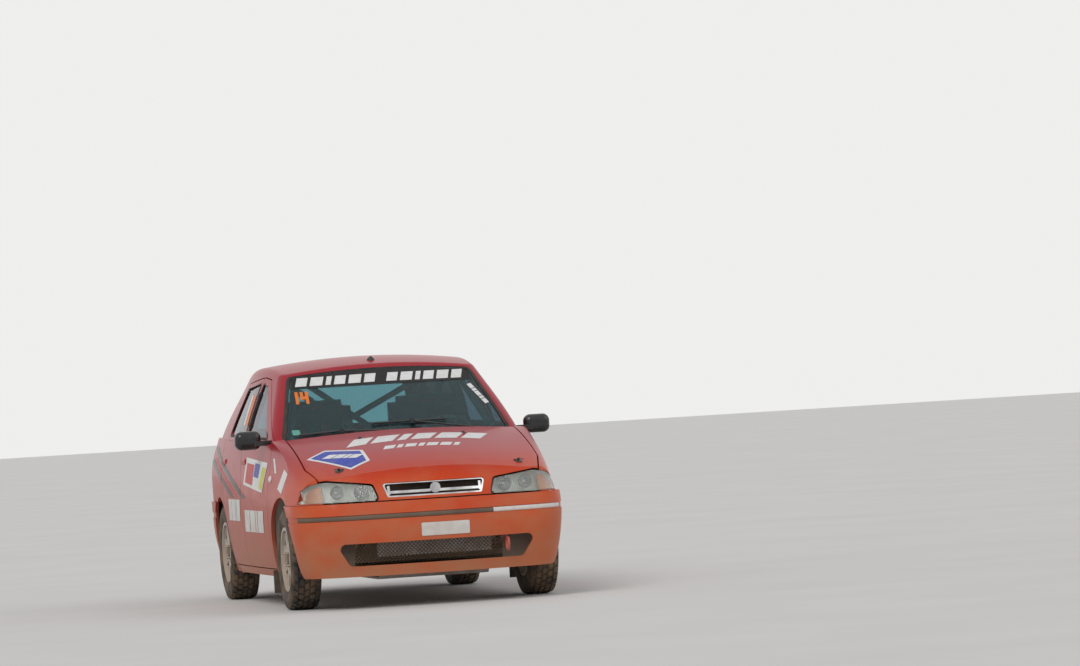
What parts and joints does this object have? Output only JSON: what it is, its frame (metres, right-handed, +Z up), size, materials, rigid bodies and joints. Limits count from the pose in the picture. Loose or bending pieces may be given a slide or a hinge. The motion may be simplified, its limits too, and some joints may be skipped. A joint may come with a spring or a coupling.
{
  "type": "rally car",
  "caption": "Small five-door hatchback in gravel rally trim, with opening doors, bonnet and tailgate, steered front wheels, roll cage and mud flaps.",
  "frame": {"origin": "on the ground, midway along the length and across the width", "axes": "+X forwards, +Y to the car's left, +Z up"},
  "size_m": [3.8295, 1.886, 1.452],
  "materials": {
    "body_paint": "glossy",
    "shell_paint": "satin",
    "glass": "clear",
    "lamp": "clear",
    "chrome": "polished",
    "dark_plastic": "matte",
    "cast_metal": "rough",
    "black_steel": "satin",
    "steel": "worn",
    "aluminium": "worn",
    "wheel_metal": "painted white",
    "tyre": "matte",
    "flap": "matte",
    "tow_red": "glossy",
    "seat": "woven",
    "steering_rim": "suede",
    "cage": "satin"
  },
  "bodies": {
    "chassis": {"body_side_left": "body_paint", "body_side_right": "body_paint", "roof_panel": "body_paint", "windscreen": "glass", "tail_lamps": "lamp", "front_wings": "body_paint", "headlamps": "lamp", "front_bumper": "body_paint", "rear_bumper": "body_paint", "cowl_panel": "dark_plastic", "floor_pan": "shell_paint", "front_structure": "shell_paint", "radiator": "aluminium", "engine_block": "cast_metal", "front_subframe": "black_steel", "sump_guard": "aluminium", "rear_axle": "black_steel", "fuel_tank": "black_steel", "exhaust": "steel", "mud_flaps": "flap", "tow_eye_front": "tow_red", "tow_eye_rear": "tow_red", "dashboard": "dark_plastic", "seats": "seat", "roll_cage": "cage", "wipers": "dark_plastic"},
    "bonnet": {"bonnet": "body_paint", "grille": "chrome"},
    "tailgate": {"tailgate": "body_paint", "tailgate_glass": "glass"},
    "steering_wheel": {"steering_wheel": "steering_rim"},
    "door_front_left": {"door_front_left": "body_paint", "door_glass_front_left": "glass", "mirror_left": "dark_plastic"},
    "door_rear_left": {"door_rear_left": "body_paint", "door_glass_rear_left": "glass"},
    "knuckle_left": {"knuckle_left": "cast_metal"},
    "wheel_front_left": {"wheel_front_left": "wheel_metal", "tyre_front_left": "tyre"},
    "wheel_rear_left": {"wheel_rear_left": "wheel_metal", "tyre_rear_left": "tyre"},
    "door_front_right": {"door_front_right": "body_paint", "door_glass_front_right": "glass", "mirror_right": "dark_plastic"},
    "door_rear_right": {"door_rear_right": "body_paint", "door_glass_rear_right": "glass"},
    "knuckle_right": {"knuckle_right": "cast_metal"},
    "wheel_front_right": {"wheel_front_right": "wheel_metal", "tyre_front_right": "tyre"},
    "wheel_rear_right": {"wheel_rear_right": "wheel_metal", "tyre_rear_right": "tyre"}
  },
  "joints": [
    {"name": "front_door_left_hinge", "type": "hinge", "parent": "chassis", "child": "door_front_left", "pos_m": [0.782, 0.8185, 0.58], "axis": [0, 0, -1], "range_deg": [0, 65]},
    {"name": "rear_door_left_hinge", "type": "hinge", "parent": "chassis", "child": "door_rear_left", "pos_m": [-0.171, 0.8195, 0.58], "axis": [0, 0, -1], "range_deg": [0, 68]},
    {"name": "front_door_right_hinge", "type": "hinge", "parent": "chassis", "child": "door_front_right", "pos_m": [0.782, -0.8185, 0.58], "axis": [0, 0, 1], "range_deg": [0, 65]},
    {"name": "rear_door_right_hinge", "type": "hinge", "parent": "chassis", "child": "door_rear_right", "pos_m": [-0.171, -0.8195, 0.58], "axis": [0, 0, 1], "range_deg": [0, 68]},
    {"name": "bonnet_hinge", "type": "hinge", "parent": "chassis", "child": "bonnet", "pos_m": [0.84, 0, 1.012], "axis": [0, -1, 0], "range_deg": [0, 60]},
    {"name": "tailgate_hinge", "type": "hinge", "parent": "chassis", "child": "tailgate", "pos_m": [-1.388, 0, 1.385], "axis": [0, 1, 0], "range_deg": [0, 80]},
    {"name": "steer_left", "type": "hinge", "parent": "chassis", "child": "knuckle_left", "pos_m": [1.17, 0.628, 0.205], "axis": [0, -0.1329, 0.9911], "range_deg": [-34, 34]},
    {"name": "steer_right", "type": "hinge", "parent": "chassis", "child": "knuckle_right", "pos_m": [1.17, -0.628, 0.205], "axis": [0, 0.1329, 0.9911], "range_deg": [-34, 34]},
    {"name": "steering_wheel_turn", "type": "hinge", "parent": "chassis", "child": "steering_wheel", "pos_m": [0.392, 0.35, 0.892], "axis": [-0.9135, 0, 0.4067], "range_deg": [-480, 480]},
    {"name": "wheel_front_left_spin", "type": "hinge", "parent": "knuckle_left", "child": "wheel_front_left", "pos_m": [1.17, 0.694, 0.293], "axis": [0, 1, 0], "continuous": true},
    {"name": "wheel_front_right_spin", "type": "hinge", "parent": "knuckle_right", "child": "wheel_front_right", "pos_m": [1.17, -0.694, 0.293], "axis": [0, 1, 0], "continuous": true},
    {"name": "wheel_rear_left_spin", "type": "hinge", "parent": "chassis", "child": "wheel_rear_left", "pos_m": [-1.203, 0.694, 0.293], "axis": [0, 1, 0], "continuous": true},
    {"name": "wheel_rear_right_spin", "type": "hinge", "parent": "chassis", "child": "wheel_rear_right", "pos_m": [-1.203, -0.694, 0.293], "axis": [0, 1, 0], "continuous": true}
  ],
  "couplings": [
    {"joint": "steer_right", "follows": "steer_left", "ratio": 1},
    {"joint": "steering_wheel_turn", "follows": "steer_left", "ratio": 14}
  ]
}
